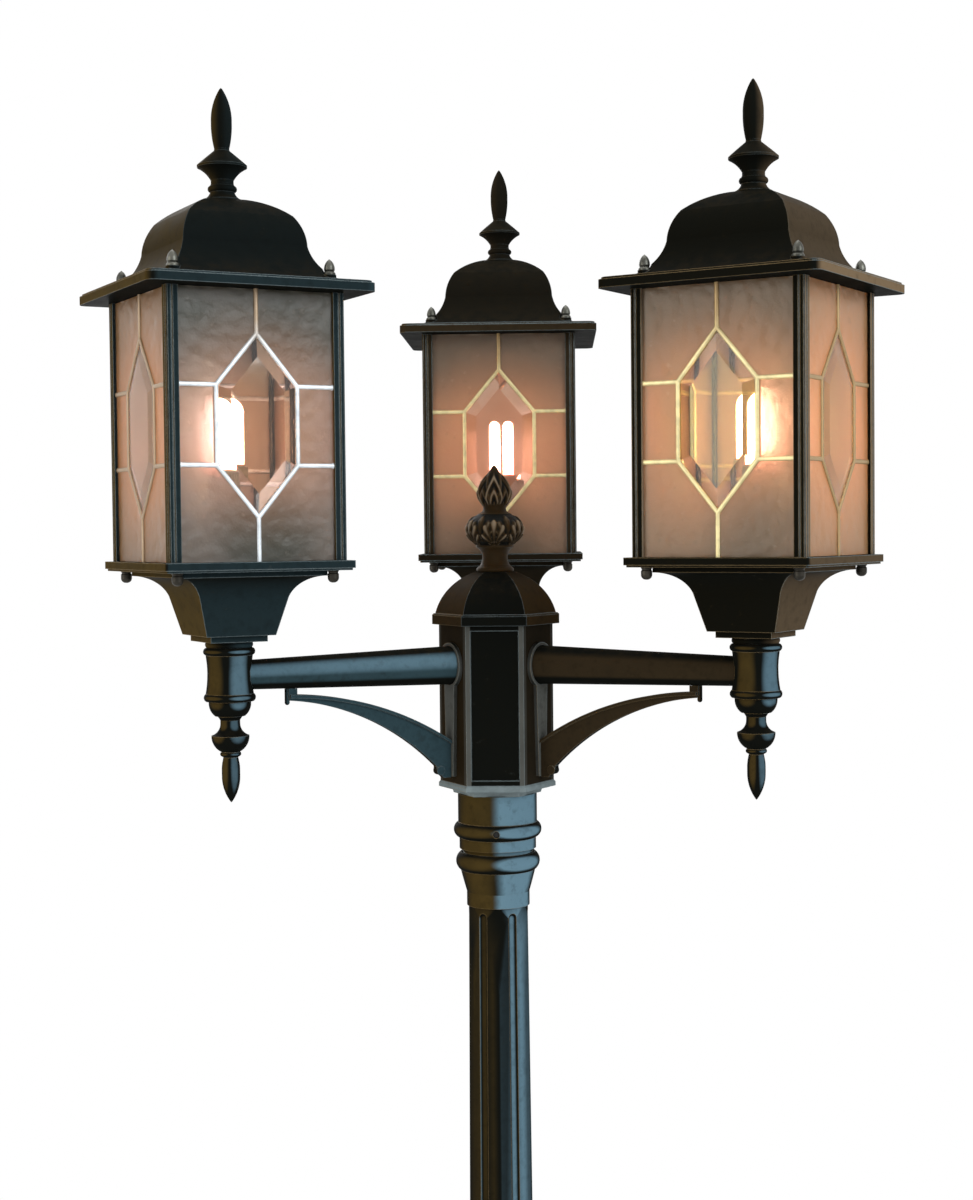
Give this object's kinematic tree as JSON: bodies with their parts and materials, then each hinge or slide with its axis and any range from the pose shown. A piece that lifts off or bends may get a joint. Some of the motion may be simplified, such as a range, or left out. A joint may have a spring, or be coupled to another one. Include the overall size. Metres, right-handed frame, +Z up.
{
  "type": "lamp post",
  "caption": "Garden lamp post with square glazed lanterns on braced arms round a six-sided hub, on a fluted tapered post with a bolt-down base.",
  "frame": {"origin": "centre of the anchor bolt circle on the ground, under the post's axis", "axes": "+Z up along the post; -Y towards the front, where the hub shows a panelled face between the two front arms; +X to the right seen from the front"},
  "size_m": [0.7834, 0.6809, 2.2985],
  "materials": {
    "black_casting": "cast aluminium in antique black paint, rubbed lighter along the edges",
    "dark_steel": "blackened steel",
    "plated_steel": "zinc plated",
    "came_metal": "bright drawn came",
    "textured_glass": "hammered, lightly tinted cathedral glass",
    "clear_glass": "clear bevelled glass",
    "porcelain": "glazed",
    "lamp_plastic": "white moulding with a plated screw cap",
    "lamp_tube": "lit phosphor-coated tube",
    "terminal_plastic": "moulded",
    "lead_rubber": "round flexible lead"
  },
  "bodies": {
    "root": {"base_casting": "black_casting", "post": "black_casting", "post_head": "black_casting", "set_screws": "dark_steel", "hub": "black_casting", "terminal_block": "terminal_plastic", "arm_sockets": "black_casting", "drop_finials": "black_casting", "escutcheons": "black_casting", "foot_knobs": "dark_steel", "tie_rods": "dark_steel", "nipples": "plated_steel", "lamp_leads": "lead_rubber", "left_arm": "black_casting", "left_brace": "black_casting", "left_neck_casting": "black_casting", "left_tray": "black_casting", "left_cage_posts": "black_casting", "left_came": "came_metal", "left_textured_glass": "textured_glass", "left_clear_glass": "clear_glass", "left_lamp_holder": "porcelain", "right_arm": "black_casting", "right_brace": "black_casting", "right_neck_casting": "black_casting", "right_tray": "black_casting", "right_cage_posts": "black_casting", "right_came": "came_metal", "right_textured_glass": "textured_glass", "right_clear_glass": "clear_glass", "right_lamp_holder": "porcelain", "back_arm": "black_casting", "back_brace": "black_casting", "back_neck_casting": "black_casting", "back_tray": "black_casting", "back_cage_posts": "black_casting", "back_came": "came_metal", "back_textured_glass": "textured_glass", "back_clear_glass": "clear_glass", "back_lamp_holder": "porcelain"},
    "left_roof": {"left_eave": "black_casting", "left_dome": "black_casting", "left_acorn_nuts": "dark_steel", "left_finial": "black_casting"},
    "left_lamp": {"left_lamp_base": "lamp_plastic", "left_lamp_tubes": "lamp_tube"},
    "right_roof": {"right_eave": "black_casting", "right_dome": "black_casting", "right_acorn_nuts": "dark_steel", "right_finial": "black_casting"},
    "right_lamp": {"right_lamp_base": "lamp_plastic", "right_lamp_tubes": "lamp_tube"},
    "back_roof": {"back_eave": "black_casting", "back_dome": "black_casting", "back_acorn_nuts": "dark_steel", "back_finial": "black_casting"},
    "back_lamp": {"back_lamp_base": "lamp_plastic", "back_lamp_tubes": "lamp_tube"},
    "cap": {"hub_cap": "black_casting", "hub_finial": "black_casting"}
  },
  "joints": [
    {"name": "left_roof_lift", "type": "slide", "parent": "root", "child": "left_roof", "axis": [0, 0, 1], "range_m": [0, 0.15]},
    {"name": "left_lamp_unscrew", "type": "slide", "parent": "root", "child": "left_lamp", "axis": [0, 0, 1], "range_m": [0, 0.03]},
    {"name": "right_roof_lift", "type": "slide", "parent": "root", "child": "right_roof", "axis": [0, 0, 1], "range_m": [0, 0.15]},
    {"name": "right_lamp_unscrew", "type": "slide", "parent": "root", "child": "right_lamp", "axis": [0, 0, 1], "range_m": [0, 0.03]},
    {"name": "back_roof_lift", "type": "slide", "parent": "root", "child": "back_roof", "axis": [0, 0, 1], "range_m": [0, 0.15]},
    {"name": "back_lamp_unscrew", "type": "slide", "parent": "root", "child": "back_lamp", "axis": [0, 0, 1], "range_m": [0, 0.03]},
    {"name": "hub_cap_lift", "type": "slide", "parent": "root", "child": "cap", "axis": [0, 0, 1], "range_m": [0, 0.06]}
  ]
}
